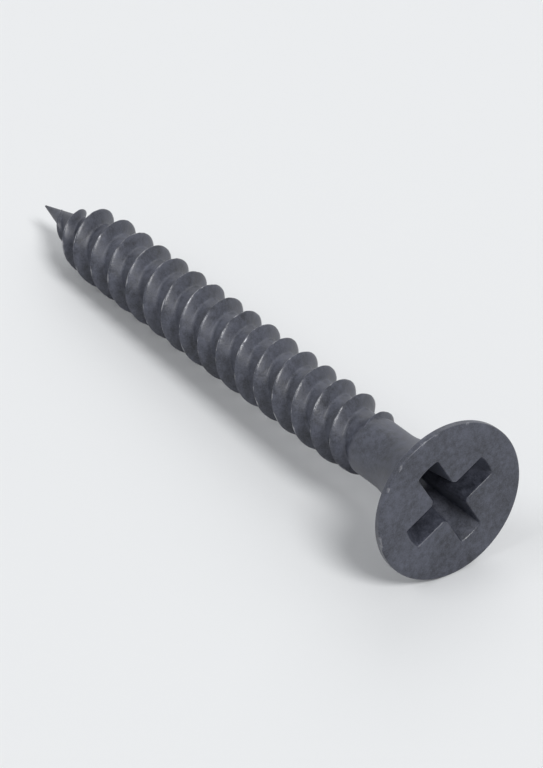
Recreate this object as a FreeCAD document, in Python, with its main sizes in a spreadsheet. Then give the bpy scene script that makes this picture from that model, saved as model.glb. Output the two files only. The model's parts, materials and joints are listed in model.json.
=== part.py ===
import FreeCAD, Part
import math
import os

import Sketcher
from FreeCAD import Placement, Rotation, Vector

# A bugle-head drywall screw of hardened steel with a cross recess, a coarse
# twin-start thread and a sharp point. It is one piece of cold-headed and
# thread-rolled wire, so it is one solid. Lengths are in millimetres, angles in
# degrees. The screw is drawn upright with its head face at height zero and its
# tip below, and is then laid down as it comes to rest on a table.

NODE = "drywall_screw"

SIZES = (
    # Overall and head
    ("screw_length", 35.0, "Head face to tip"),
    ("head_diameter", 8.2, "Across the rim of the head"),
    ("rim_height", 0.35, "Height of the rim's edge band"),
    ("bugle_depth", 4.6, "Head face to where the flare meets the neck"),
    # Shank
    ("neck_diameter", 3.0, "Plain neck under the flare"),
    ("neck_length", 1.5, "Length of the plain neck"),
    ("shoulder_length", 0.4, "Short cone from the neck to the core"),
    ("core_diameter", 2.6, "Core between the thread's ribs"),
    ("point_length", 5.6, "Cone of the core down to the tip"),
    # Thread
    ("thread_diameter", 3.8, "Across the crests"),
    ("thread_starts", 2, "Ribs that wind side by side"),
    ("crest_spacing", 1.6, "From one crest to the next along the shank"),
    ("flank_angle", 60.0, "Angle between a rib's two flanks"),
    ("foot_depth", 0.08, "How far a rib's foot reaches into the core"),
    ("neck_gap", 1.2, "Plain neck left between the flare and the thread"),
    ("fade_length", 1.3, "Length over which a rib fades out at the neck"),
    ("tip_gap", 0.8, "Plain tip left before the ribs begin"),
    ("growth_length", 4.0, "Length over which a rib grows to full height"),
    # Cross recess, size 2
    ("recess_span", 5.2, "Across two opposite wings at the head face"),
    ("floor_span", 2.29, "Across two opposite wings at the floor"),
    ("wing_end_angle", 26.5, "Slope of a wing's end from the screw's axis"),
    ("floor_angle", 28.0, "Slope of the conical floor from level"),
    ("wing_width", 0.7, "Width of a wing at the floor"),
    ("wing_draft", 5.75, "Slope of a wing's side from the screw's axis"),
    ("corner_span", 1.47, "Across the facets between the wings at the floor"),
    ("recess_turn", 28.0, "Turn of the cross about the screw's axis"),
    ("recess_overcut", 0.5, "How far the recess cutter stands above the face"),
)

# Sizes that follow from the ones above.
FORMULAS = (
    ("wing_depth", "(recess_span - floor_span) / 2 / tan(wing_end_angle)",
     "Head face to the rim of the recess floor"),
    ("recess_depth", "wing_depth + floor_span / 2 * tan(floor_angle)",
     "Head face to the deepest point of the recess"),
    ("top_widening", "(wing_depth + recess_overcut) * tan(wing_draft)",
     "What draft adds to a half width from the floor to the cutter's top"),
    ("floor_narrowing", "(recess_depth - wing_depth) * tan(wing_draft)",
     "What draft takes from a half width under the floor's rim"),
    ("cutter_radius", "recess_span / 2 + recess_overcut * tan(wing_end_angle)",
     "Radius of the recess cutter at its top"),
    ("contact_depth", "screw_length - tip_gap - growth_length",
     "Head face to the crest that rests on the table"),
    ("rest_tilt",
     "atan((head_diameter - thread_diameter) / 2 / (contact_depth - rim_height))",
     "Slope of the axis when rim and crest both touch the table"),
    ("rest_height", "rim_height * sin(rest_tilt) + head_diameter / 2 * cos(rest_tilt)",
     "Height of the head face's centre above the table"),
    ("head_reach", "head_diameter / 2 * sin(rest_tilt)",
     "How far the face's edge lies past the face's centre, along the table"),
    ("tip_reach", "screw_length * cos(rest_tilt)",
     "How far the tip lies behind the face's centre, along the table"),
)

# Turns, in degrees.
FULL_TURN = 360
QUARTER_TURN = 90
EIGHTH_TURN = 45

# A rib is made in fifths of a turn, each edge through a few points of its helix.
SPANS_PER_TURN = 5
STEPS_PER_SPAN = 3


def fill_sheet(doc):
    """Write every size into the sheet, each with its alias."""
    sheet = doc.addObject("Spreadsheet::Sheet", "Sizes")
    rows = [(alias, str(size), note) for alias, size, note in SIZES]
    rows += [(alias, "=" + formula, note) for alias, formula, note in FORMULAS]
    for row, (alias, content, note) in enumerate(rows, start=1):
        sheet.set("A" + str(row), note)
        sheet.setAlias("B" + str(row), alias)
    for row, (alias, content, note) in enumerate(rows, start=1):
        sheet.set("B" + str(row), content)
    doc.recompute()
    return sheet


def sketch_on_front(body, name):
    """Start a sketch on the body's front plane: across is radius, up is height."""
    plane = next(
        item for item in body.Origin.OriginFeatures if item.Role == "XZ_Plane"
    )
    sketch = body.newObject("Sketcher::SketchObject", name)
    sketch.AttachmentSupport = [(plane, "")]
    sketch.MapMode = "FlatFace"
    return sketch


def dimension(sketch, name, kind, formula, *where):
    """Add a dimension to the sketch and bind it to the sheet."""
    size = float(sketch.evalExpression(formula))
    index = sketch.addConstraint(Sketcher.Constraint(kind, *where, size))
    sketch.renameConstraint(index, name)
    sketch.setExpression("Constraints." + name, formula)


def revolve(body, sketch, name):
    """Turn the sketch all the way round its upright axis."""
    turned = body.newObject("PartDesign::Revolution", name)
    turned.Profile = (sketch, [""])
    turned.ReferenceAxis = (sketch, ["V_Axis"])
    turned.Angle = FULL_TURN
    return turned


def make_blank(doc, sheet):
    """The headed and pointed wire before its thread is rolled."""
    body = doc.addObject("PartDesign::Body", "Blank")
    sketch = sketch_on_front(body, "BlankOutline")

    head_radius = sheet.head_diameter / 2
    neck_radius = sheet.neck_diameter / 2
    core_radius = sheet.core_diameter / 2
    flare_width = head_radius - neck_radius
    flare_height = sheet.bugle_depth - sheet.rim_height
    # The flare is an arc that leaves the neck straight up and reaches the rim.
    flare_radius = (flare_width**2 + flare_height**2) / (2 * flare_width)
    flare_swing = math.asin(flare_height / flare_radius)
    neck_end = sheet.bugle_depth + sheet.neck_length
    core_start = neck_end + sheet.shoulder_length
    point_start = sheet.screw_length - sheet.point_length

    def at(radius, depth):
        return Vector(radius, -depth, 0)

    flare_circle = Part.Circle(
        at(neck_radius + flare_radius, sheet.bugle_depth), Vector(0, 0, 1), flare_radius
    )
    outline = (
        Part.LineSegment(at(0, 0), at(head_radius, 0)),
        Part.LineSegment(at(head_radius, 0), at(head_radius, sheet.rim_height)),
        Part.ArcOfCircle(flare_circle, math.pi - flare_swing, math.pi),
        Part.LineSegment(at(neck_radius, sheet.bugle_depth), at(neck_radius, neck_end)),
        Part.LineSegment(at(neck_radius, neck_end), at(core_radius, core_start)),
        Part.LineSegment(at(core_radius, core_start), at(core_radius, point_start)),
        Part.LineSegment(at(core_radius, point_start), at(0, sheet.screw_length)),
        Part.LineSegment(at(0, sheet.screw_length), at(0, 0)),
    )
    face, rim, flare, neck, shoulder, core, point, axis = (
        sketch.addGeometry(piece) for piece in outline
    )
    start, end = 1, 2
    origin = (-1, 1)

    joins = (
        ("Coincident", face, end, rim, start),
        ("Coincident", rim, end, flare, start),
        ("Tangent", flare, end, neck, start),
        ("Coincident", neck, end, shoulder, start),
        ("Coincident", shoulder, end, core, start),
        ("Coincident", core, end, point, start),
        ("Coincident", point, end, axis, start),
        ("Coincident", axis, end, face, start),
        ("Coincident", face, start, *origin),
        ("Horizontal", face),
        ("Vertical", rim),
        ("Vertical", neck),
        ("Vertical", core),
        ("Vertical", axis),
    )
    for join in joins:
        sketch.addConstraint(Sketcher.Constraint(*join))

    dimensions = (
        ("head_radius", "DistanceX", "Sizes.head_diameter / 2", *origin, rim, start),
        ("rim_height", "DistanceY", "Sizes.rim_height", rim, end, *origin),
        ("bugle_depth", "DistanceY", "Sizes.bugle_depth", neck, start, *origin),
        ("neck_radius", "DistanceX", "Sizes.neck_diameter / 2", *origin, neck, start),
        ("neck_length", "DistanceY", "Sizes.neck_length", neck, end, neck, start),
        ("shoulder_length", "DistanceY", "Sizes.shoulder_length",
         shoulder, end, shoulder, start),
        ("core_radius", "DistanceX", "Sizes.core_diameter / 2", *origin, core, start),
        ("point_length", "DistanceY", "Sizes.point_length", axis, start, core, end),
        ("screw_length", "DistanceY", "Sizes.screw_length", axis, start, *origin),
    )
    for name, kind, formula, *where in dimensions:
        dimension(sketch, name, kind, formula, *where)
    revolve(body, sketch, "TurnedBlank")
    return body


class Rib:
    """One start of the thread: a helical rib that fades out at both ends.

    Distances run upwards from the tip along the screw's axis.
    """

    def __init__(self, sheet, turn):
        self.sheet = sheet
        self.turn = turn
        self.lead = sheet.crest_spacing * sheet.thread_starts
        self.flank_slope = math.tan(math.radians(sheet.flank_angle / 2))
        self.bottom = sheet.tip_gap
        self.full_from = sheet.tip_gap + sheet.growth_length
        self.top = sheet.screw_length - sheet.bugle_depth - sheet.neck_gap
        self.full_until = self.top - sheet.fade_length

    def core_radius(self, along):
        """Radius of the core's cone or cylinder at a distance from the tip."""
        share = min(along / self.sheet.point_length, 1)
        return self.sheet.core_diameter / 2 * share

    def crest_radius(self, along):
        """Radius of the rib's crest, just under the surface at both ends."""
        full = self.sheet.thread_diameter / 2
        buried = self.sheet.foot_depth / 2
        tip_end = self.core_radius(self.bottom) - buried
        neck_end = self.sheet.neck_diameter / 2 - buried
        if along < self.full_from:
            share = (along - self.bottom) / (self.full_from - self.bottom)
            return tip_end + (full - tip_end) * share
        if along > self.full_until:
            share = (self.top - along) / (self.top - self.full_until)
            return neck_end + (full - neck_end) * share
        return full

    def foot_radius(self, along):
        """Radius of the rib's foot, inside the core over the foot's whole width."""
        lower_edge = along - self.sheet.crest_spacing / 4
        sunk = self.core_radius(lower_edge) - self.sheet.foot_depth
        return max(sunk, self.crest_radius(self.bottom) / 2)

    def corners(self, along):
        """The three corners of the rib's section: lower foot, crest, upper foot."""
        angle = self.turn + 2 * math.pi * (along - self.full_from) / self.lead
        outward = Vector(math.cos(angle), math.sin(angle), 0)
        height = along - self.sheet.screw_length
        crest = self.crest_radius(along)
        foot = self.foot_radius(along)
        half_width = (crest - foot) * self.flank_slope
        section = ((foot, -half_width), (crest, 0), (foot, half_width))
        return [outward * radius + Vector(0, 0, height + rise) for radius, rise in section]

    def stations(self):
        """Distances at which one stretch of the rib ends and the next begins."""
        foot_levels_off = self.sheet.point_length + self.sheet.crest_spacing / 4
        bends = {self.bottom, foot_levels_off, self.full_from, self.full_until, self.top}
        bends = sorted(bend for bend in bends if self.bottom <= bend <= self.top)
        longest = self.lead / SPANS_PER_TURN
        found = [bends[0]]
        for lower, upper in zip(bends, bends[1:]):
            count = math.ceil((upper - lower) / longest)
            found += [lower + (upper - lower) * step / count
                      for step in range(1, count + 1)]
        return found

    def edges(self, lower, upper):
        """The three lengthwise edges of one stretch of the rib."""
        shares = [step / STEPS_PER_SPAN for step in range(STEPS_PER_SPAN + 1)]
        steps = [lower + (upper - lower) * share for share in shares]
        curves = []
        for line in zip(*(self.corners(along) for along in steps)):
            curve = Part.BSplineCurve()
            curve.interpolate(Points=list(line), Parameters=shares)
            curves.append(curve.toShape())
        return curves

    def solid(self):
        """The rib's two flanks and its foot, closed by a flat face at each end."""
        stations = self.stations()
        faces = []
        for lower, upper in zip(stations, stations[1:]):
            edges = self.edges(lower, upper)
            for edge, following in zip(edges, edges[1:] + edges[:1]):
                faces.append(Part.makeRuledSurface(edge, following))
        for along in (self.bottom, self.top):
            corners = self.corners(along)
            faces.append(Part.Face(Part.makePolygon(corners + corners[:1])))
        shell = Part.Shell(faces)
        shell.sewShape()
        solid = Part.Solid(shell)
        if solid.Volume < 0:
            solid.reverse()
        return solid


def make_thread(doc, sheet, blank):
    """The ribs, evenly turned about the axis and grown onto the blank."""
    ribs = []
    count = int(sheet.thread_starts)
    for number in range(count):
        rib = doc.addObject("Part::Feature", "ThreadRib" + str(number + 1))
        rib.Shape = Rib(sheet, 2 * math.pi * number / count).solid()
        ribs.append(rib)
    threaded = doc.addObject("Part::MultiFuse", "ThreadedBlank")
    threaded.Shapes = [blank] + ribs
    threaded.Refine = False
    return threaded


def make_wing(doc, name, half_width, half_length, turn):
    """A drafted bar through the axis that cuts two opposite wings."""
    wing = doc.addObject("Part::Wedge", name)
    for side, sign in (("max", ""), ("min", "-")):
        wing.setExpression("X" + side, sign + "(" + half_length + ")")
        wing.setExpression("X2" + side, sign + "(" + half_length + ")")
        wing.setExpression(
            "Z" + side, sign + "(" + half_width + " - Sizes.floor_narrowing)")
        wing.setExpression(
            "Z2" + side, sign + "(" + half_width + " + Sizes.top_widening)")
    wing.setExpression("Ymin", "-Sizes.recess_depth")
    wing.setExpression("Ymax", "Sizes.recess_overcut")
    upright = Rotation(Vector(1, 0, 0), QUARTER_TURN)
    wing.Placement = Placement(Vector(), Rotation(Vector(0, 0, 1), turn) * upright)
    return wing


def make_corner_block(doc):
    """A drafted square post that takes the corners off between the wings."""
    post = doc.addObject("Part::Wedge", "CornerPost")
    for side, sign in (("max", ""), ("min", "-")):
        for way in ("X", "Z"):
            post.setExpression(
                way + side, sign + "(Sizes.corner_span / 2 - Sizes.floor_narrowing)")
            post.setExpression(
                way + "2" + side, sign + "(Sizes.corner_span / 2 + Sizes.top_widening)")
    post.setExpression("Ymin", "-Sizes.recess_depth")
    post.setExpression("Ymax", "Sizes.recess_overcut")
    upright = Rotation(Vector(1, 0, 0), QUARTER_TURN)
    turned = Rotation(Vector(0, 0, 1), EIGHTH_TURN)
    post.Placement = Placement(Vector(), turned * upright)
    return post


def make_recess_cone(doc, sheet):
    """The cone that bounds the wings' ends and the floor of the recess."""
    body = doc.addObject("PartDesign::Body", "RecessCone")
    sketch = sketch_on_front(body, "RecessOutline")
    top = sheet.recess_overcut
    points = (
        Vector(0, top, 0),
        Vector(sheet.cutter_radius, top, 0),
        Vector(sheet.floor_span / 2, -sheet.wing_depth, 0),
        Vector(0, -sheet.recess_depth, 0),
    )
    lid, side, floor, axis = (
        sketch.addGeometry(Part.LineSegment(here, there))
        for here, there in zip(points, points[1:] + points[:1])
    )
    start, end = 1, 2
    origin = (-1, 1)
    upright_axis = -2
    joins = (
        ("Coincident", lid, end, side, start),
        ("Coincident", side, end, floor, start),
        ("Coincident", floor, end, axis, start),
        ("Coincident", axis, end, lid, start),
        ("PointOnObject", lid, start, upright_axis),
        ("PointOnObject", axis, start, upright_axis),
        ("Horizontal", lid),
    )
    for join in joins:
        sketch.addConstraint(Sketcher.Constraint(*join))
    dimensions = (
        ("overcut", "DistanceY", "Sizes.recess_overcut", *origin, lid, start),
        ("cutter_radius", "DistanceX", "Sizes.cutter_radius", lid, start, lid, end),
        ("wing_depth", "DistanceY", "Sizes.wing_depth", floor, start, *origin),
        ("floor_radius", "DistanceX", "Sizes.floor_span / 2", *origin, floor, start),
        ("recess_depth", "DistanceY", "Sizes.recess_depth", floor, end, *origin),
    )
    for name, kind, formula, *where in dimensions:
        dimension(sketch, name, kind, formula, *where)
    revolve(body, sketch, "TurnedRecess")
    return body


def make_recess(doc, sheet):
    """The cross recess as a cutter: wings and corner post, cut to the cone."""
    half_width = "Sizes.wing_width / 2"
    half_length = "Sizes.cutter_radius"
    cross = doc.addObject("Part::MultiFuse", "RecessCross")
    cross.Shapes = [
        make_wing(doc, "WingAlong", half_width, half_length, 0),
        make_wing(doc, "WingAcross", half_width, half_length, QUARTER_TURN),
        make_corner_block(doc),
    ]
    recess = doc.addObject("Part::Common", "Recess")
    recess.Base = cross
    recess.Tool = make_recess_cone(doc, sheet)
    recess.Placement = Placement(Vector(), Rotation(Vector(0, 0, 1), 1))
    recess.setExpression("Placement.Rotation.Angle", "Sizes.recess_turn")
    return recess


def lay_down(screw):
    """Lay the screw on the table: head towards +X, resting on rim and crest."""
    screw.Placement = Placement(Vector(), Rotation(Vector(0, 1, 0), 1))
    screw.setExpression("Placement.Rotation.Angle", "90 deg - Sizes.rest_tilt")
    screw.setExpression("Placement.Base.x", "(Sizes.tip_reach - Sizes.head_reach) / 2")
    screw.setExpression("Placement.Base.z", "Sizes.rest_height")


def check(doc):
    """Stop if any object of the document failed, or the screw isn't one solid."""
    for item in doc.Objects:
        if "Invalid" in item.State or "Error" in item.State:
            raise RuntimeError(item.Label + " failed: " + str(item.State))
    screw = doc.getObject(NODE)
    if screw.Shape.isNull() or not screw.Shape.isValid():
        raise RuntimeError(NODE + " has no valid shape")
    if len(screw.Shape.Solids) != 1:
        raise RuntimeError(NODE + " should be one solid")


def main():
    doc = FreeCAD.newDocument("DrywallScrew")
    sheet = fill_sheet(doc)
    blank = make_blank(doc, sheet)
    threaded = make_thread(doc, sheet, blank)
    recess = make_recess(doc, sheet)
    screw = doc.addObject("Part::Cut", NODE)
    screw.Label = NODE
    screw.Base = threaded
    screw.Tool = recess
    lay_down(screw)
    doc.recompute()
    check(doc)
    os.makedirs("parts", exist_ok=True)
    screw.Shape.exportStep("parts/" + NODE + ".step")
    print(NODE, "volume", round(screw.Shape.Volume, 2), "mm3, box", screw.Shape.BoundBox)


main()
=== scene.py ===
"""Looks of a black bugle-head drywall screw, in metres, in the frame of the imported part.

One piece stands for the solid: a tip, a threaded shank and a head with a cross recess, welded into one
closed mesh. The thread comes from Geometry Nodes, because its two ribs follow one rule from the point to the
neck. The tip and the head are rings of points round the screw's axis. Each part is made upright, with the
point at the origin and the axis along +Z, and is then laid down where the solid lies.
"""

import json
import logging
import math
from dataclasses import dataclass, field
from enum import Enum
from typing import Dict, List, Optional, Sequence, Tuple, Union

import bmesh
import bpy
from mathutils import Matrix, Vector

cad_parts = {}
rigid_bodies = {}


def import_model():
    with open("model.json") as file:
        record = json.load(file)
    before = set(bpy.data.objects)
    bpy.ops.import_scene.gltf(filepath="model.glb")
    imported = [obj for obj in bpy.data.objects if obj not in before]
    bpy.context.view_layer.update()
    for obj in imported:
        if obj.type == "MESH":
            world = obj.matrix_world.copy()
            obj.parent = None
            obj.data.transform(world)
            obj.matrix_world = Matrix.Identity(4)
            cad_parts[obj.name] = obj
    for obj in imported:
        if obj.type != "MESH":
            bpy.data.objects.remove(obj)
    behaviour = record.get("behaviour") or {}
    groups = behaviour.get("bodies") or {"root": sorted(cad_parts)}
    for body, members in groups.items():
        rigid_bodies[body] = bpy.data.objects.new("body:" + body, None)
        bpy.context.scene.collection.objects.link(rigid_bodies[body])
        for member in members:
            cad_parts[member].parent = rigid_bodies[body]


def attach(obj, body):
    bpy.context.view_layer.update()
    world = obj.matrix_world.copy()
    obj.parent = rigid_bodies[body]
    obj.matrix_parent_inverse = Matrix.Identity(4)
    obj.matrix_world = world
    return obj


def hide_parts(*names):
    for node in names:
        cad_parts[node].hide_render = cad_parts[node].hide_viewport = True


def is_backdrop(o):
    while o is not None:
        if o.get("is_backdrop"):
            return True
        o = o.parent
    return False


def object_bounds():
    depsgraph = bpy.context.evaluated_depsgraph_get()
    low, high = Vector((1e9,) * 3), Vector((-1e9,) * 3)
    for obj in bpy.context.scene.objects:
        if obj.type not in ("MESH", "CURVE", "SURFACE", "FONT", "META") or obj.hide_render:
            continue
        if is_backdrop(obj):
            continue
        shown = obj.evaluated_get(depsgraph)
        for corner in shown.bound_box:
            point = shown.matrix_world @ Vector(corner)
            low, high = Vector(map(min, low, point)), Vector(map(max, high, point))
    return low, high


LOG = logging.getLogger("drywall_screw")

MM = 0.001
BODY = "root"
NODE = "drywall_screw"
WORN = "worn"
WELD = 1e-7
SEGMENTS = 144
FIRST_ANGLE = math.radians(28.0)
SHANK_START = 0.5 * MM
SHANK_END = 29.9 * MM
FRAME_WIDTH = 543
FRAME_HEIGHT = 768

# The middle of a pattern that runs from 0 to 1
MIDDLE = 0.5

# A Mix node's colour sockets go by number, because their names repeat for each kind of data
MIX_SHARE = 0
MIX_LOW = 6
MIX_HIGH = 7
MIX_RESULT = 2

Number = Union["Term", float]
Colour = Tuple[float, float, float]


# Node trees


class Term:
    """One number that flows through a node tree, used in plain Python arithmetic."""

    def __init__(self, bench: "Bench", socket: bpy.types.NodeSocket) -> None:
        """Wraps the output socket of a bench's tree that carries the number."""
        self.bench = bench
        self.socket = socket

    def _join(self, operation: str, *values: Number) -> "Term":
        """The result of a Math node that takes the values in the order of its sockets."""
        return self.bench.term("ShaderNodeMath", {"operation": operation}, dict(enumerate(values)))

    def __add__(self, other: Number) -> "Term":
        """self + other."""
        return self._join("ADD", self, other)

    def __radd__(self, other: Number) -> "Term":
        """other + self."""
        return self._join("ADD", other, self)

    def __sub__(self, other: Number) -> "Term":
        """self - other."""
        return self._join("SUBTRACT", self, other)

    def __rsub__(self, other: Number) -> "Term":
        """other - self."""
        return self._join("SUBTRACT", other, self)

    def __mul__(self, other: Number) -> "Term":
        """self * other."""
        return self._join("MULTIPLY", self, other)

    def __rmul__(self, other: Number) -> "Term":
        """other * self."""
        return self._join("MULTIPLY", other, self)

    def __truediv__(self, other: Number) -> "Term":
        """self / other."""
        return self._join("DIVIDE", self, other)

    def __pow__(self, other: Number) -> "Term":
        """self ** other."""
        return self._join("POWER", self, other)

    def __abs__(self) -> "Term":
        """The size of self without its sign."""
        return self._join("ABSOLUTE", self)

    def step(self, operation: str) -> "Term":
        """self put through a Math node that takes one number, such as ROUND, FLOOR, SIGN, SQRT or SINE."""
        return self._join(operation, self)

    def at_least(self, other: Number) -> "Term":
        """The larger of the two."""
        return self._join("MAXIMUM", self, other)

    def at_most(self, other: Number) -> "Term":
        """The smaller of the two."""
        return self._join("MINIMUM", self, other)

    def within(self, low: float, high: float) -> "Term":
        """self held between two limits."""
        return self.at_least(low).at_most(high)

    def eased(self) -> "Term":
        """self, from 0 to 1, with a gentle start and end."""
        return self * self * (3.0 - self * 2.0)

    def filleted_at_least(self, other: Number, width: Number) -> "Term":
        """The larger of the two, with a fillet of the given width between them."""
        return self._join("SMOOTH_MAX", self, other, width)

    def filleted_at_most(self, other: Number, width: Number) -> "Term":
        """The smaller of the two, with a fillet of the given width between them."""
        return self._join("SMOOTH_MIN", self, other, width)


class Bench:
    """A node tree that is being built, for a material, the world or a mesh."""

    def __init__(self, tree: bpy.types.NodeTree) -> None:
        """Takes the tree to fill, and empties it."""
        self.tree = tree
        tree.nodes.clear()

    def node(
        self,
        kind: str,
        settings: Optional[Dict[str, object]] = None,
        inputs: Optional[Dict[object, object]] = None,
    ) -> bpy.types.Node:
        """Adds one node.

        Args:
            kind: The node's type name.
            settings: Properties of the node, set first.
            inputs: Values, sockets or Terms, by socket name or number.

        Returns:
            The new node.
        """
        made = self.tree.nodes.new(kind)
        for name, value in (settings or {}).items():
            setattr(made, name, value)
        for name, value in (inputs or {}).items():
            self.feed(made.inputs[name], value)
        return made

    def feed(self, socket: bpy.types.NodeSocket, value: object) -> None:
        """Gives a socket its value or link.

        Args:
            socket: The input to feed.
            value: A Term, an output socket, or a plain value.
        """
        if isinstance(value, Term):
            value = value.socket
        if isinstance(value, bpy.types.NodeSocket):
            self.tree.links.new(value, socket)
        else:
            socket.default_value = value

    def term(
        self,
        kind: str,
        settings: Optional[Dict[str, object]] = None,
        inputs: Optional[Dict[object, object]] = None,
        output: object = 0,
    ) -> Term:
        """Adds a node as the method node does, and wraps its output of that name or number."""
        return Term(self, self.node(kind, settings, inputs).outputs[output])


# Finishes


@dataclass(frozen=True)
class PhosphateCoat:
    """Black phosphate on steel: crystals, clouds, sheen on edges and specks of bare metal on crests.

    A pattern's tone is how far it moves the colour between dark and light, and its dulling is how far it
    moves the roughness.
    """

    dark: Colour = (0.022, 0.024, 0.033)
    light: Colour = (0.088, 0.094, 0.124)
    bare: Colour = (0.46, 0.46, 0.48)
    middle_tone: float = 0.45
    mottle_tone: float = 1.5
    cloud_tone: float = 1.3
    crystal_tone: float = 0.45
    coat_roughness: float = 0.43
    cloud_dulling: float = 0.30
    mottle_dulling: float = 0.25
    crystal_dulling: float = 0.14
    least_roughness: float = 0.30
    polish: float = 0.20
    bare_roughness: float = 0.30
    crystals_per_mm: float = 13.0
    crystal_smoothness: float = 0.4
    crystal_reach: float = 1.2
    mottles_per_mm: float = 3.2
    mottle_octaves: float = 4.0
    clouds_per_mm: float = 0.55
    cloud_octaves: float = 3.0
    rubs_per_mm: float = 1.7
    rub_octaves: float = 5.0
    octave_share: float = 0.55
    rub_share: float = 1.8
    rub_start: float = 1.88
    rub_sharpness: float = 2.6
    most_rubbed: float = 0.62
    grain_height: float = 0.006 * MM
    grain_strength: float = 0.6

    def material(self) -> bpy.types.Material:
        """Builds the finish.

        Returns:
            The material for the whole screw.
        """
        made = bpy.data.materials.new("black_phosphate")
        made.use_nodes = True
        bench = Bench(made.node_tree)
        place = bench.node("ShaderNodeTexCoord").outputs["Object"]
        crystals = self._crystals(bench, place)
        mottles = self._noise(bench, place, self.mottles_per_mm, self.mottle_octaves)
        clouds = self._noise(bench, place, self.clouds_per_mm, self.cloud_octaves)
        edge = bench.term("ShaderNodeAttribute", {"attribute_name": WORN}, None, "Fac")
        rubs = self._noise(bench, place, self.rubs_per_mm, self.rub_octaves)
        worn_through = (edge + rubs * self.rub_share - self.rub_start) * self.rub_sharpness
        rubbed = worn_through.within(0.0, self.most_rubbed)
        tone = (
            (mottles - MIDDLE) * self.mottle_tone
            + (clouds - MIDDLE) * self.cloud_tone
            + (crystals - MIDDLE) * self.crystal_tone
            + self.middle_tone
        )
        coated = self._mix(bench, tone, (*self.dark, 1.0), (*self.light, 1.0))
        colour = self._mix(bench, rubbed, coated, (*self.bare, 1.0))
        dull = (
            self.coat_roughness
            + (clouds - MIDDLE) * self.cloud_dulling
            + (mottles - MIDDLE) * self.mottle_dulling
            + (crystals - MIDDLE) * self.crystal_dulling
        )
        sheen = (dull - edge.within(0.0, 1.0) * self.polish).at_least(self.least_roughness)
        roughness = sheen * (1.0 - rubbed) + rubbed * self.bare_roughness
        bump = bench.node(
            "ShaderNodeBump",
            None,
            {"Strength": self.grain_strength, "Distance": self.grain_height, "Height": crystals + mottles},
        )
        shader = bench.node(
            "ShaderNodeBsdfPrincipled",
            None,
            {
                "Base Color": colour,
                "Metallic": rubbed,
                "Roughness": roughness,
                "Normal": bump.outputs[0],
            },
        )
        bench.node("ShaderNodeOutputMaterial", None, {"Surface": shader.outputs[0]})
        return made

    def _noise(
        self, bench: Bench, place: bpy.types.NodeSocket, per_mm: float, detail: float
    ) -> Term:
        """Adds a cloud pattern.

        Args:
            bench: The material's tree.
            place: The coordinates that it reads.
            per_mm: How many clouds there are in a millimetre.
            detail: How many finer octaves it holds.

        Returns:
            The pattern, from 0 to 1 with its middle at 0.5.
        """
        return bench.term(
            "ShaderNodeTexNoise",
            None,
            {"Vector": place, "Scale": per_mm / MM, "Detail": detail, "Roughness": self.octave_share},
        )

    def _crystals(self, bench: Bench, place: bpy.types.NodeSocket) -> Term:
        """Adds the coat's crystals, each with its own height.

        Args:
            bench: The material's tree.
            place: The coordinates that they read.

        Returns:
            The pattern, from 0 to 1.
        """
        cells = bench.node(
            "ShaderNodeTexVoronoi",
            {"feature": "SMOOTH_F1"},
            {
                "Vector": place,
                "Scale": self.crystals_per_mm / MM,
                "Smoothness": self.crystal_smoothness,
            },
        )
        return Term(bench, cells.outputs["Distance"]) * self.crystal_reach

    def _mix(self, bench: Bench, share: Term, low: object, high: object) -> bpy.types.NodeSocket:
        """Mixes two colours.

        Args:
            bench: The material's tree.
            share: How much of the second colour there is.
            low: The first colour, or a socket.
            high: The second colour, or a socket.

        Returns:
            The mixed colour's socket.
        """
        mixed = bench.node(
            "ShaderNodeMix",
            {"data_type": "RGBA", "clamp_factor": True},
            {MIX_SHARE: share, MIX_LOW: low, MIX_HIGH: high},
        )
        return mixed.outputs[MIX_RESULT]


@dataclass(frozen=True)
class PaleFloor:
    """A matt, pale sheet under the screw."""

    colour: Colour = (0.84, 0.85, 0.86)
    roughness: float = 0.9

    def material(self) -> bpy.types.Material:
        """Builds the floor's material.

        Returns:
            The material.
        """
        made = bpy.data.materials.new("pale_floor")
        made.use_nodes = True
        bench = Bench(made.node_tree)
        shader = bench.node(
            "ShaderNodeBsdfPrincipled",
            None,
            {"Base Color": (*self.colour, 1.0), "Roughness": self.roughness},
        )
        bench.node("ShaderNodeOutputMaterial", None, {"Surface": shader.outputs[0]})
        return made


# Rings


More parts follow.
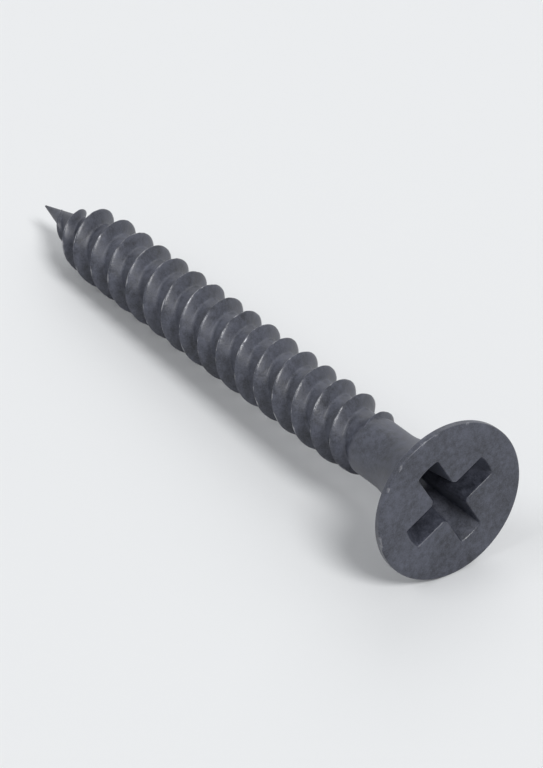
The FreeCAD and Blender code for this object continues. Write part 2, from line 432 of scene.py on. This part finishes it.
@dataclass
class Rings:
    """A mesh of rings round the screw's axis, one joined to the next."""

    segments: int = SEGMENTS
    first_angle: float = FIRST_ANGLE
    bm: bmesh.types.BMesh = field(default_factory=bmesh.new)

    def __post_init__(self) -> None:
        """Adds the layer that says how much each point is rubbed."""
        self.worn = self.bm.verts.layers.float.new(WORN)
        self.last: List[bmesh.types.BMVert] = []

    def circle(self, radius: float, along: float, worn: float = 0.0) -> None:
        """Adds a round ring.

        Args:
            radius: Its distance from the axis.
            along: Its height above the point.
            worn: How much its points are rubbed, 0 to 1.
        """
        angles = [self.first_angle + math.tau * k / self.segments for k in range(self.segments)]
        points = [Vector((radius * math.cos(a), radius * math.sin(a), along)) for a in angles]
        self.ring(points, worn)

    def ring(self, points: Sequence[Vector], worn: float = 0.0) -> None:
        """Adds a ring through given points and joins it to the last one.

        Args:
            points: One point for each segment.
            worn: How much they are rubbed, 0 to 1.
        """
        made = []
        for point in points:
            vert = self.bm.verts.new(point)
            vert[self.worn] = worn
            made.append(vert)
        if self.last:
            for k in range(self.segments):
                n = (k + 1) % self.segments
                self.bm.faces.new((self.last[k], self.last[n], made[n], made[k]))
        self.last = made

    def close(self, point: Vector) -> None:
        """Joins the last ring to one point.

        Args:
            point: The point that closes it.
        """
        end = self.bm.verts.new(point)
        for k in range(self.segments):
            n = (k + 1) % self.segments
            self.bm.faces.new((self.last[k], self.last[n], end))

    def mesh(self, name: str) -> bpy.types.Mesh:
        """Turns the rings into a smooth mesh.

        Args:
            name: The mesh's name.

        Returns:
            The mesh.
        """
        for face in self.bm.faces:
            face.smooth = True
        made = bpy.data.meshes.new(name)
        self.bm.to_mesh(made)
        self.bm.free()
        return made


def bent(start: Vector, corner: Vector, end: Vector, steps: int) -> List[Vector]:
    """The points of a bend from start to end that rounds a corner, one for each step, without its end."""
    shares = [k / steps for k in range(steps)]
    return [start.lerp(corner, share).lerp(corner.lerp(end, share), share) for share in shares]


def plain_copy(source: bpy.types.Object, name: str) -> bpy.types.Mesh:
    """Evaluates an object's modifiers into a mesh and removes the object.

    Args:
        source: The object with its modifiers live.
        name: The new mesh's name.

    Returns:
        The plain mesh.
    """
    graph = bpy.context.evaluated_depsgraph_get()
    made = bpy.data.meshes.new_from_object(source.evaluated_get(graph), depsgraph=graph)
    made.name = name
    source.modifiers.clear()
    bpy.data.objects.remove(source)
    return made


def shown(mesh: bpy.types.Mesh, name: str) -> bpy.types.Object:
    """Puts a mesh in the scene.

    Args:
        mesh: The mesh.
        name: The object's name.

    Returns:
        The object, at the origin.
    """
    made = bpy.data.objects.new(name, mesh)
    bpy.context.scene.collection.objects.link(made)
    return made


# Parts of the screw


@dataclass
class Core:
    """The round body under the thread: a cone up from the point, a cylinder, a shoulder and the neck."""

    radius: float = 1.3 * MM
    neck_radius: float = 1.5 * MM
    point_length: float = 5.6 * MM
    nose: float = 0.04 * MM
    shoulder_start: float = 28.5 * MM
    shoulder_slope: float = 0.5
    point_fillet: float = 0.12 * MM
    neck_fillet: float = 0.08 * MM

    @property
    def cone_slope(self) -> float:
        """How fast the point grows, from its small nose to the core."""
        return (self.radius - self.nose) / self.point_length

    def point_radius(self, along: float) -> float:
        """The point's radius at a height above its end, below the cylinder."""
        return self.nose + self.cone_slope * along


@dataclass
class Tip:
    """The sharp end of the point, below the first turn of the thread."""

    core: Core = field(default_factory=Core)
    end: float = SHANK_START
    stations: Tuple[float, ...] = (0.004, 0.015, 0.035, 0.07, 0.13, 0.22, 0.34)

    def mesh(self) -> bpy.types.Mesh:
        """Builds the tip, open at its top.

        Returns:
            The mesh, with the point at the origin.
        """
        rings = Rings()
        rings.circle(self.core.point_radius(self.end), self.end)
        for height in reversed(self.stations):
            along = height * MM
            nose = math.sqrt(2.0 * self.core.nose * along)
            rings.circle(min(nose, self.core.point_radius(along)), along)
        rings.close(Vector((0.0, 0.0, 0.0)))
        return rings.mesh("tip")


@dataclass
class ThreadedShank:
    """Core, two ribs side by side and the start of the neck, as one skin on a grid that winds with the ribs.

    A column of the grid follows one rib's crest, flank, foot or groove for its whole length, so the crest
    stays crisp. Columns past either end are held at that end and weld into its ring.
    """

    core: Core = field(default_factory=Core)
    start: float = SHANK_START
    end: float = SHANK_END
    spacing: float = 1.6 * MM
    starts: int = 2
    crest_radius: float = 1.9 * MM
    full_from: float = 4.8 * MM
    growth_from: float = 0.8 * MM
    growth_radius: float = 0.1457 * MM
    fade_from: float = 27.9 * MM
    fade_to: float = 29.2 * MM
    fade_radius: float = 1.46 * MM
    flank_angle: float = math.radians(30.0)
    crest_rounding: float = 0.035 * MM
    crest_wear: float = 0.03 * MM
    dents_per_mm: float = 0.9
    dent_octaves: float = 2.0
    dent_level: float = 0.45
    dent_sharpness: float = 4.0
    worn_depth: float = 0.10 * MM
    worn_height: float = 0.25 * MM
    least_rib: float = 0.06 * MM
    foot_spread: float = 0.6
    groove_ease: float = 1.5
    rounding_guard: float = 0.01
    foot_fillet: float = 0.09 * MM
    columns_per_rib: int = 20
    flank_columns: int = 6
    first_rib: int = -6
    ribs: int = 22

    def mesh(self, finish: bpy.types.Material) -> bpy.types.Mesh:
        """Builds the shank, open at both ends.

        Args:
            finish: The screw's material.

        Returns:
            The mesh, with the point at the origin.
        """
        tree = bpy.data.node_groups.new("twin_start_thread", "GeometryNodeTree")
        ids = self._fill(tree)
        carrier = shown(bpy.data.meshes.new("thread_carrier"), "thread_carrier")
        modifier = carrier.modifiers.new("thread", "NODES")
        modifier.node_group = tree
        for name, value in self._sizes().items():
            modifier[ids[name]] = value
        modifier[ids["Finish"]] = finish
        return plain_copy(carrier, "shank")

    def _sizes(self) -> Dict[str, Union[int, float]]:
        """Works out the numbers for the tree's named inputs.

        Returns:
            Each input's value, by its name.
        """
        grow = (self.crest_radius - self.growth_radius) / (self.full_from - self.growth_from)
        fade = (self.crest_radius - self.fade_radius) / (self.fade_to - self.fade_from)
        return {
            "Columns": self.columns_per_rib * self.ribs,
            "Segments": SEGMENTS,
            "First angle": FIRST_ANGLE,
            "Crest spacing": self.spacing,
            "Lead": self.spacing * self.starts,
            "First full crest": self.full_from,
            "Shank start": self.start,
            "Shank end": self.end,
            "Core radius": self.core.radius,
            "Nose radius": self.core.nose,
            "Point slope": self.core.cone_slope,
            "Neck radius": self.core.neck_radius,
            "Shoulder start": self.core.shoulder_start,
            "Crest radius": self.crest_radius,
            "Growth start": self.growth_from,
            "Growth radius": self.growth_radius,
            "Growth slope": grow,
            "Fade start": self.fade_from,
            "Fade slope": fade,
            "Crest rounding": self.crest_rounding,
            "Crest wear": self.crest_wear,
            "Dent spacing": MM / self.dents_per_mm,
            "Foot fillet": self.foot_fillet,
        }

    def _fill(self, tree: bpy.types.NodeTree) -> Dict[str, str]:
        """Builds the node tree.

        Args:
            tree: The empty tree.

        Returns:
            The identifier of each named input.
        """
        ids: Dict[str, str] = {}
        for name, value in self._sizes().items():
            kind = "NodeSocketInt" if isinstance(value, int) else "NodeSocketFloat"
            ids[name] = tree.interface.new_socket(name, in_out="INPUT", socket_type=kind).identifier
        finish = tree.interface.new_socket("Finish", in_out="INPUT", socket_type="NodeSocketMaterial")
        ids["Finish"] = finish.identifier
        tree.interface.new_socket("Geometry", in_out="OUTPUT", socket_type="NodeSocketGeometry")
        bench = Bench(tree)
        given = bench.node("NodeGroupInput")
        size = {name: Term(bench, given.outputs[name]) for name in self._sizes()}
        grid = bench.node(
            "GeometryNodeMeshGrid",
            None,
            {
                "Size X": size["Columns"],
                "Size Y": size["Segments"],
                "Vertices X": size["Columns"] + 1.0,
                "Vertices Y": size["Segments"] + 1.0,
            },
        )
        place, worn = self._place(bench, size)
        marked = bench.node(
            "GeometryNodeStoreNamedAttribute",
            {"data_type": "FLOAT", "domain": "POINT"},
            {"Geometry": grid.outputs["Mesh"], "Name": WORN, "Value": worn},
        )
        moved = bench.node(
            "GeometryNodeSetPosition", None, {"Geometry": marked.outputs[0], "Position": place}
        )
        welded = bench.node(
            "GeometryNodeMergeByDistance", None, {"Geometry": moved.outputs[0], "Distance": WELD}
        )
        smooth = bench.node("GeometryNodeSetShadeSmooth", None, {"Geometry": welded.outputs[0]})
        real = bench.node("GeometryNodeRealizeInstances", None, {"Geometry": smooth.outputs[0]})
        dressed = bench.node(
            "GeometryNodeSetMaterial",
            None,
            {"Geometry": real.outputs[0], "Material": given.outputs["Finish"]},
        )
        bench.node("NodeGroupOutput", None, {"Geometry": dressed.outputs[0]})
        return ids

    def _place(self, bench: Bench, size: Dict[str, Term]) -> Tuple[bpy.types.NodeSocket, Term]:
        """Winds the flat grid into the shank's skin.

        Args:
            bench: The tree.
            size: The tree's named inputs.

        Returns:
            Each point's place, and how much it is rubbed.
        """
        flat = bench.node(
            "ShaderNodeSeparateXYZ", None, {"Vector": bench.node("GeometryNodeInputPosition").outputs[0]}
        )
        per_rib = float(self.columns_per_rib)
        half = per_rib / 2.0
        column = (Term(bench, flat.outputs["X"]) + size["Columns"] * 0.5).step("ROUND")
        row = (Term(bench, flat.outputs["Y"]) + size["Segments"] * 0.5).step("ROUND")
        # The guard keeps a column on the border of two ribs with the upper one
        rib = ((column + half + self.rounding_guard) / per_rib).step("FLOOR")
        beside = column - rib * per_rib
        turn = row / size["Segments"] + size["First angle"] / math.tau
        ribs_up = rib + float(self.first_rib)
        crest_along = size["First full crest"] + turn * size["Lead"] + ribs_up * size["Crest spacing"]
        angle = turn * math.tau
        under = self._core_radius(crest_along, size)
        crest = self._crest_radius(crest_along, size) - self._dents(bench, angle, crest_along, size)
        rounding = size["Crest rounding"]
        rib_height = (crest - under).at_least(self.least_rib)
        foot = rib_height * math.tan(self.flank_angle) + rounding * self.foot_spread
        flank = (abs(beside) / float(self.flank_columns)).at_most(1.0).eased()
        past_flank = (abs(beside) - float(self.flank_columns)) / (half - self.flank_columns)
        groove = past_flank.at_least(0.0) ** self.groove_ease
        reach = foot * flank + (size["Crest spacing"] * 0.5 - foot) * groove
        free = crest_along + reach * beside.step("SIGN")
        along = free.at_least(size["Shank start"]).at_most(size["Shank end"])
        away = along - crest_along
        drop = (away * away + rounding * rounding).step("SQRT") - rounding
        rib_radius = crest - drop / math.tan(self.flank_angle)
        radius = rib_radius.filleted_at_least(self._core_radius(along, size), size["Foot fillet"])
        place = bench.node(
            "ShaderNodeCombineXYZ",
            None,
            {"X": radius * angle.step("COSINE"), "Y": radius * angle.step("SINE"), "Z": along},
        )
        height = ((crest - under) / self.worn_height).within(0.0, 1.0)
        worn = (1.0 - drop / self.worn_depth).at_least(0.0) * height
        return place.outputs[0], worn

    def _dents(self, bench: Bench, angle: Term, along: Term, size: Dict[str, Term]) -> Term:
        """How far the crest is worn down, by a pattern that is fixed along the ribs.

        Args:
            bench: The tree.
            angle: Where the crest is round the axis.
            along: Its height above the point.
            size: The tree's named inputs.

        Returns:
            The depth of the wear.
        """
        spacing = size["Dent spacing"]
        reach = size["Crest radius"] / spacing
        spot = bench.node(
            "ShaderNodeCombineXYZ",
            None,
            {"X": reach * angle.step("COSINE"), "Y": reach * angle.step("SINE"), "Z": along / spacing},
        )
        pattern = bench.term(
            "ShaderNodeTexNoise",
            None,
            {"Vector": spot.outputs[0], "Scale": 1.0, "Detail": self.dent_octaves},
        )
        share = ((pattern - self.dent_level) * self.dent_sharpness).within(0.0, 1.0)
        return share * size["Crest wear"]

    def _crest_radius(self, along: Term, size: Dict[str, Term]) -> Term:
        """The ribs' radius over their crest: it grows from the point, runs level and fades at the neck.

        Args:
            along: The height above the point.
            size: The tree's named inputs.

        Returns:
            The radius there.
        """
        grown = size["Growth radius"] + (along - size["Growth start"]) * size["Growth slope"]
        faded = size["Crest radius"] - (along - size["Fade start"]) * size["Fade slope"]
        return grown.at_most(size["Crest radius"]).at_most(faded)

    def _core_radius(self, along: Term, size: Dict[str, Term]) -> Term:
        """The radius of the round body under the ribs.

        Args:
            along: The height above the point.
            size: The tree's named inputs.

        Returns:
            The radius there.
        """
        point = size["Nose radius"] + along * size["Point slope"]
        shoulder = (along - size["Shoulder start"]).at_least(0.0) * self.core.shoulder_slope
        body = point.filleted_at_most(size["Core radius"], self.core.point_fillet) + shoulder
        return body.filleted_at_most(size["Neck radius"], self.core.neck_fillet)


@dataclass
class CrossRecess:
    """The driver's recess: four drafted wings and a square middle, over a shallow conical floor.

    The steps from the middle of a wing's end to the middle of the square's side add up to an eighth of a
    ring.
    """

    radius: float = 2.6 * MM
    end_slope: float = math.tan(math.radians(26.5))
    floor_start: float = 2.918 * MM
    floor_slope: float = math.tan(math.radians(28.0))
    floor_depth: float = 3.527 * MM
    wing_half: float = 0.35 * MM
    post_half: float = 0.735 * MM
    draft: float = math.tan(math.radians(5.75))
    end_rounding: float = 0.09 * MM
    inner_rounding: float = 0.06 * MM
    edge_rounding: float = 0.07 * MM
    foot_rounding: float = 0.12 * MM
    end_steps: int = 3
    end_bend_steps: int = 3
    side_steps: int = 8
    inner_bend_steps: int = 2
    post_steps: int = 2
    levels: int = 8
    edge_steps: int = 4
    foot_steps: int = 3
    floor_passes: int = 12
    floor_shares: Tuple[float, ...] = (1.0, 0.7, 0.4, 0.15)
    edge_wear: float = 0.6

    def half_quarter(self, depth: float, grown: float) -> List[Vector]:
        """The outline from the middle of a wing's end to the middle of the square's side.

        Args:
            depth: The distance below the head's face.
            grown: How far the outline is moved outwards.

        Returns:
            The points, with the wing along the first axis.
        """
        wider = (self.floor_start - depth) * self.draft + grown
        wing = self.wing_half + wider
        post = (self.post_half + wider) * math.sqrt(2.0)
        reach = self.radius - depth * self.end_slope + grown
        spread = math.asin(wing / reach)
        plain = spread - self.end_rounding / reach
        outer = Vector((reach * math.cos(spread), wing))
        inner = Vector((post - wing, wing))
        middle = Vector((post / 2.0, post / 2.0))
        arc_end = Vector((reach * math.cos(plain), reach * math.sin(plain)))
        side_start = outer - Vector((self.end_rounding, 0.0))
        side_end = inner + Vector((self.inner_rounding, 0.0))
        post_start = inner + (middle - inner).normalized() * self.inner_rounding
        points = []
        for k in range(self.end_steps):
            angle = plain * k / self.end_steps
            points.append(Vector((reach * math.cos(angle), reach * math.sin(angle))))
        points += bent(arc_end, outer, side_start, self.end_bend_steps)
        points += [side_start.lerp(side_end, k / self.side_steps) for k in range(self.side_steps)]
        points += bent(side_end, inner, post_start, self.inner_bend_steps)
        points += [post_start.lerp(middle, k / self.post_steps) for k in range(self.post_steps + 1)]
        return points

    def outline(self, depths: Sequence[float], grown: float = 0.0) -> List[Vector]:
        """The whole outline, with a depth of its own for each point.

        Args:
            depths: One depth for each segment of a ring.
            grown: How far the outline is moved outwards.

        Returns:
            The points, from the middle of the first wing's end.
        """
        half = SEGMENTS // 8
        known: Dict[float, List[Vector]] = {}
        points = []
        for k, depth in enumerate(depths):
            if depth not in known:
                known[depth] = self.half_quarter(depth, grown)
            quarter, step = divmod(k, 2 * half)
            point = known[depth][min(step, 2 * half - step)]
            if step > half:
                point = point.yx
            points.append(Matrix.Rotation(quarter * math.pi / 2.0, 2) @ point)
        return points

    def floor_depths(self) -> List[float]:
        """Where each point's wall meets the floor.

        Returns:
            The depth of the wall's foot for each segment.
        """
        depths = [self.floor_start] * SEGMENTS
        for _ in range(self.floor_passes):
            depths = [self.floor_under(point) for point in self.outline(depths)]
        return depths

    def floor_under(self, point: Vector) -> float:
        """The depth of the conical floor at a point of the plan."""
        return self.floor_depth - point.length * self.floor_slope

    def cut(self, rings: Rings, face_along: float) -> None:
        """Carries the rings over the edge, down the walls and across the floor.

        Args:
            rings: The head's rings, the last of which lies on the face at the recess's edge.
            face_along: The face's height above the point.
        """
        turn = Matrix.Rotation(rings.first_angle, 3, "Z")

        def below(points: Sequence[Vector], depths: Sequence[float]) -> List[Vector]:
            """Points of the plan, each at its depth below the face."""
            return [turn @ Vector((*point, face_along - depth)) for point, depth in zip(points, depths)]

        edge = self.edge_rounding
        for k in range(1, self.edge_steps + 1):
            angle = math.pi / 2.0 * k / self.edge_steps
            depths = [edge * (1.0 - math.cos(angle))] * SEGMENTS
            rings.ring(below(self.outline(depths, edge * (1.0 - math.sin(angle))), depths), self.edge_wear)
        feet = self.floor_depths()
        wall_ends = [foot - self.foot_rounding for foot in feet]
        for level in range(1, self.levels + 1):
            share = level / self.levels
            depths = [edge + (end - edge) * share for end in wall_ends]
            rings.ring(below(self.outline(depths), depths))
        starts = below(self.outline(wall_ends), wall_ends)
        foot_plan = self.outline(feet)
        corners = below(foot_plan, feet)
        floor_plan = [point * (1.0 - self.foot_rounding / point.length) for point in foot_plan]
        floor_edge = below(floor_plan, [self.floor_under(point) for point in floor_plan])
        bends = [bent(*three, self.foot_steps)[1:] for three in zip(starts, corners, floor_edge)]
        for ring in zip(*bends):
            rings.ring(ring)
        for share in self.floor_shares:
            plan = [point * share for point in floor_plan]
            rings.ring(below(plan, [self.floor_under(point) for point in plan]))
        rings.close(Vector((0.0, 0.0, face_along - self.floor_depth)))


@dataclass
class BugleHead:
    """The flare that curves out of the neck, the thin rim and the flat face with its recess."""

    core: Core = field(default_factory=Core)
    recess: CrossRecess = field(default_factory=CrossRecess)
    radius: float = 4.1 * MM
    face_along: float = 35.0 * MM
    rim_height: float = 0.35 * MM
    flare_depth: float = 4.6 * MM
    start: float = SHANK_END
    rim_rounding: float = 0.08 * MM
    flare_steps: int = 26
    rounding_steps: int = 8
    lower_wear: float = 0.5
    upper_wear: float = 0.8
    face_shares: Tuple[float, ...] = (0.04, 0.35, 0.68, 0.94, 1.0)

    def mesh(self) -> bpy.types.Mesh:
        """Builds the head, open where the neck goes on.

        Returns:
            The mesh, with the screw's point at the origin.
        """
        rings = Rings()
        rings.circle(self.core.neck_radius, self.start)
        self._add_flare(rings)
        self._add_rim(rings)
        self._add_face(rings)
        self.recess.cut(rings, self.face_along)
        return rings.mesh("head")

    @property
    def flare_bend(self) -> float:
        """The radius of the flare's curve.

        Returns:
            The radius of the arc that leaves the neck straight up and reaches the rim.
        """
        rise = self.flare_depth - self.rim_height
        spread = self.radius - self.core.neck_radius
        return (rise * rise + spread * spread) / (2.0 * spread)

    @property
    def flare_angle(self) -> float:
        """The flare's slope from the axis where it reaches the rim."""
        return math.asin((self.flare_depth - self.rim_height) / self.flare_bend)

    def _add_flare(self, rings: Rings) -> None:
        """Curves the neck out to where the rim's rounding begins.

        Args:
            rings: The head's rings so far.
        """
        bend = self.flare_bend
        last = self.flare_angle - self.rim_rounding * math.tan(self.flare_angle / 2.0) / bend
        base = self.face_along - self.flare_depth
        for k in range(self.flare_steps + 1):
            angle = last * k / self.flare_steps
            radius = self.core.neck_radius + bend * (1.0 - math.cos(angle))
            rings.circle(radius, base + bend * math.sin(angle))

    def _add_rim(self, rings: Rings) -> None:
        """Rounds the rim's lower and upper edges.

        Args:
            rings: The head's rings so far.
        """
        r = self.rim_rounding
        inner = self.radius - r
        low = self.face_along - self.rim_height + r * math.tan(self.flare_angle / 2.0)
        high = self.face_along - r
        for k in range(1, self.rounding_steps + 1):
            angle = self.flare_angle * (1.0 - k / self.rounding_steps)
            rings.circle(inner + r * math.cos(angle), low - r * math.sin(angle), self.lower_wear)
        for k in range(self.rounding_steps + 1):
            angle = math.pi / 2.0 * k / self.rounding_steps
            rings.circle(inner + r * math.cos(angle), high + r * math.sin(angle), self.upper_wear)

    def _add_face(self, rings: Rings) -> None:
        """Carries the rings over the flat face to the recess's edge.

        Args:
            rings: The head's rings so far.
        """
        turn = Matrix.Rotation(rings.first_angle, 3, "Z")
        plan = self.recess.outline([0.0] * SEGMENTS, self.recess.edge_rounding)
        edge = [turn @ Vector((*point, self.face_along)) for point in plan]
        outer = [vert.co.copy() for vert in rings.last]
        for share in self.face_shares:
            rings.ring([a.lerp(b, share) for a, b in zip(outer, edge)])


@dataclass
class Lay:
    """How the upright screw is laid down: on its rim and its first full crest, so the head end is higher."""

    head: BugleHead
    shank: ThreadedShank

    @property
    def tilt(self) -> float:
        """The axis's slope in radians, with the rim's lower edge and the first full crest on the floor."""
        apart = self.head.face_along - self.head.rim_height - self.shank.full_from
        return math.atan((self.head.radius - self.shank.crest_radius) / apart)

    @property
    def face_centre(self) -> Vector:
        """The middle of the head's face.

        Returns:
            Its place, with the screw's length centred on the origin.
        """
        rise, run = math.sin(self.tilt), math.cos(self.tilt)
        ahead = (self.head.face_along * run - self.head.radius * rise) / 2.0
        return Vector((ahead, 0.0, self.head.rim_height * rise + self.head.radius * run))

    def matrix(self) -> Matrix:
        """Works out how the screw is laid down.

        Returns:
            The turn and move from the upright screw to the lying one.
        """
        along = Vector((math.cos(self.tilt), 0.0, math.sin(self.tilt)))
        down = Vector((math.sin(self.tilt), 0.0, -math.cos(self.tilt)))
        side = Vector((0.0, 1.0, 0.0))
        point = self.face_centre - along * self.head.face_along
        turn = Matrix((down, side, along)).transposed().to_4x4()
        return Matrix.Translation(point) @ turn


@dataclass
class DrywallScrew:
    """The whole screw: tip, shank and head welded into one closed piece."""

    tip: Tip = field(default_factory=Tip)
    shank: ThreadedShank = field(default_factory=ThreadedShank)
    head: BugleHead = field(default_factory=BugleHead)
    finish: PhosphateCoat = field(default_factory=PhosphateCoat)

    def build(self) -> bpy.types.Object:
        """Builds and dresses the screw.

        Returns:
            The piece, riding on its body and standing for the solid.
        """
        material = self.finish.material()
        parts = [self.tip.mesh(), self.shank.mesh(material), self.head.mesh()]
        raw = shown(self._weld(parts), "screw_raw")
        raw.modifiers.new("even_shading", "WEIGHTED_NORMAL")
        mesh = plain_copy(raw, "drywall_screw_skin")
        mesh.materials.clear()
        mesh.materials.append(material)
        piece = shown(mesh, "drywall_screw_skin")
        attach(piece, BODY)
        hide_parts(NODE)
        return piece

    def _weld(self, parts: Sequence[bpy.types.Mesh]) -> bpy.types.Mesh:
        """Joins the parts at their common rings and lays the screw down.

        Args:
            parts: The parts' meshes, upright.

        Returns:
            One closed mesh, its faces outwards.
        """
        bm = bmesh.new()
        for part in parts:
            bm.from_mesh(part)
        bmesh.ops.remove_doubles(bm, verts=bm.verts, dist=WELD * 2.0)
        for face in bm.faces:
            face.smooth = True
            face.material_index = 0
        bmesh.ops.recalc_face_normals(bm, faces=bm.faces)
        bmesh.ops.transform(bm, matrix=Lay(self.head, self.shank).matrix(), verts=bm.verts)
        open_edges = sum(1 for edge in bm.edges if len(edge.link_faces) != 2)
        LOG.info("welded skin: %d faces, %d edges not closed", len(bm.faces), open_edges)
        made = bpy.data.meshes.new("screw_raw")
        bm.to_mesh(made)
        bm.free()
        return made


# Studio


class Side(Enum):
    """Where the light comes from, as azimuth and elevation in degrees round the screw."""

    KEY = (88.0, 50.0)
    FILL = (-15.0, 50.0)
    BACK = (215.0, 42.0)


@dataclass
class Studio:
    """A pale floor, soft lamps and the camera."""

    floor: PaleFloor = field(default_factory=PaleFloor)
    floor_radius: float = 0.6
    floor_segments: int = 96
    lamp_distance: float = 0.30
    lamps: Tuple[Tuple[Side, float, float], ...] = (
        (Side.KEY, 0.42, 20.0),
        (Side.FILL, 0.14, 30.0),
        (Side.BACK, 0.12, 45.0),
    )
    world_level: float = 0.32
    backdrop_level: float = 0.86
    world_colour: Colour = (0.93, 0.95, 0.97)
    azimuth: float = 55.0
    elevation: float = 36.0
    lens: float = 240.0
    sensor: float = 36.0
    fill: float = 0.88
    clip_near: float = 0.05
    clip_far: float = 20.0

    def build(self, piece: bpy.types.Object) -> None:
        """Sets up floor, light and camera.

        Args:
            piece: The screw that the camera looks at.
        """
        self._add_floor()
        self._light_world()
        for side, level, spread in self.lamps:
            self._add_lamp(side, level, spread)
        self._add_camera(piece)
        bpy.context.scene.view_settings.view_transform = "Standard"

    def _add_floor(self) -> None:
        """Lays a round floor under the screw."""
        bm = bmesh.new()
        bmesh.ops.create_circle(bm, cap_ends=True, segments=self.floor_segments, radius=self.floor_radius)
        mesh = bpy.data.meshes.new("floor")
        bm.to_mesh(mesh)
        bm.free()
        mesh.materials.append(self.floor.material())
        shown(mesh, "floor")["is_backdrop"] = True

    def _light_world(self) -> None:
        """Lights the world softly, and shows it pale to the camera, in reflections and through glass."""
        world = bpy.data.worlds.new("soft_room")
        world.use_nodes = True
        bpy.context.scene.world = world
        bench = Bench(world.node_tree)
        path = bench.node("ShaderNodeLightPath")
        seen = Term(bench, path.outputs["Is Camera Ray"])
        for kind in ("Is Glossy Ray", "Is Transmission Ray"):
            seen = seen.at_least(Term(bench, path.outputs[kind]))
        strength = self.world_level + seen * (self.backdrop_level - self.world_level)
        back = bench.node(
            "ShaderNodeBackground", None, {"Color": (*self.world_colour, 1.0), "Strength": strength}
        )
        bench.node("ShaderNodeOutputWorld", None, {"Surface": back.outputs[0]})

    def _direction(self, azimuth: float, elevation: float) -> Vector:
        """The direction from the screw towards an azimuth and elevation in degrees."""
        a, e = math.radians(azimuth), math.radians(elevation)
        return Vector((math.sin(a) * math.cos(e), -math.cos(a) * math.cos(e), math.sin(e)))

    def _add_lamp(self, side: Side, level: float, spread: float) -> None:
        """Adds one far, wide lamp.

        Args:
            side: Where it stands.
            level: How much it adds to a level sheet's brightness, where 1 is the sheet's own colour.
            spread: How wide it looks from the screw, in degrees.
        """
        towards = self._direction(*side.value)
        data = bpy.data.lights.new(side.name.lower() + "_lamp", "SUN")
        data.angle = math.radians(spread)
        data.energy = level * math.pi / towards.z
        lamp = bpy.data.objects.new(data.name, data)
        lamp.location = towards * self.lamp_distance
        lamp.rotation_mode = "QUATERNION"
        lamp.rotation_quaternion = towards.to_track_quat("Z", "Y")
        bpy.context.scene.collection.objects.link(lamp)

    def _add_camera(self, piece: bpy.types.Object) -> None:
        """Stands the camera where the screw fills the frame.

        Args:
            piece: The screw.
        """
        back = self._direction(self.azimuth, self.elevation)
        turn = back.to_track_quat("Z", "Y")
        inverse = turn.to_matrix().transposed()
        seen = [inverse @ vert.co for vert in piece.data.vertices]
        low = Vector([min(p[k] for p in seen) for k in range(3)])
        high = Vector([max(p[k] for p in seen) for k in range(3)])
        middle = turn.to_matrix() @ ((low + high) / 2.0)
        width = (high.x - low.x) / self.fill
        height = (high.y - low.y) / self.fill
        frame_width = self.sensor * FRAME_WIDTH / FRAME_HEIGHT
        distance = max(width / frame_width, height / self.sensor) * self.lens
        data = bpy.data.cameras.new("camera")
        data.lens = self.lens
        data.sensor_width = self.sensor
        data.clip_start = distance * self.clip_near
        data.clip_end = distance * self.clip_far
        camera = bpy.data.objects.new("camera", data)
        camera.location = middle + back * distance
        camera.rotation_mode = "QUATERNION"
        camera.rotation_quaternion = turn
        bpy.context.scene.collection.objects.link(camera)
        bpy.context.scene.camera = camera


def corners(box: Tuple[Vector, Vector]) -> List[List[float]]:
    """A box as plain lists of numbers."""
    return [list(corner) for corner in box]


def main() -> None:
    """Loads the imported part, builds the screw round it and lights it."""
    logging.basicConfig(level=logging.INFO, format="%(name)s: %(message)s")
    for item in list(bpy.data.objects):
        bpy.data.objects.remove(item)
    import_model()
    solid_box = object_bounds()
    piece = DrywallScrew().build()
    LOG.info("%s: %d triangles", piece.name, sum(len(face.vertices) - 2 for face in piece.data.polygons))
    Studio().build(piece)
    {"solid": corners(solid_box), "visual": corners(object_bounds())}


if __name__ == "__main__":
    main()
